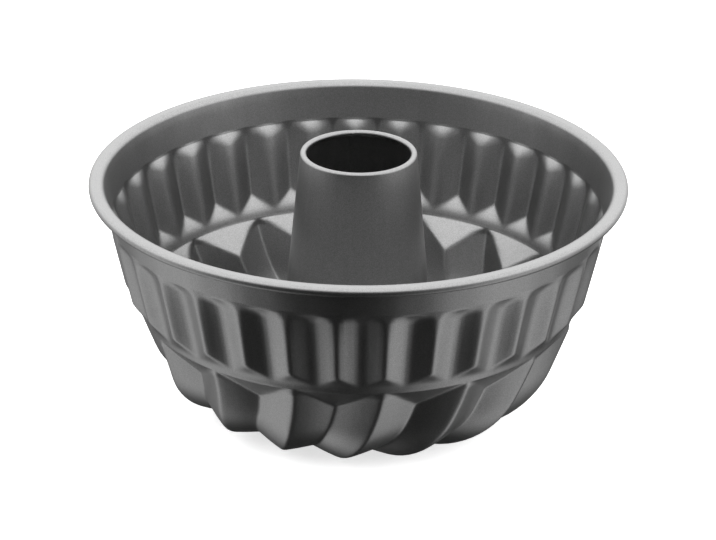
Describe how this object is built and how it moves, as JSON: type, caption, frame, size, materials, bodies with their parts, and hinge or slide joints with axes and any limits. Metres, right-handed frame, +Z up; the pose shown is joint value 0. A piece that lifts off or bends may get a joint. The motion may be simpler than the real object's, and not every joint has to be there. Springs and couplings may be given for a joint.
{
  "type": "fluted tube pan",
  "caption": "Ring cake pan of dark coated sheet steel: upright pleats over a swirled lower tier, rolled rim, and a tapered centre tube that bakes the cake evenly",
  "frame": {"origin": "centre of the base, on the table plane under the tube's axis", "axes": "+Z up along the tube's axis, -Y is the front, with a lower ridge leaving the step ring at the front"},
  "size_m": [0.22, 0.22, 0.1111],
  "materials": {
    "shell_coating": "satin dark grey non-stick coating on steel sheet",
    "rim_wire": "plain drawn steel wire, hidden in the rim",
    "tube_coating": "satin dark grey non-stick coating on steel sheet"
  },
  "bodies": {
    "root": {"fluted_shell": "shell_coating", "rim_wire": "rim_wire", "centre_tube": "tube_coating"}
  },
  "joints": []
}
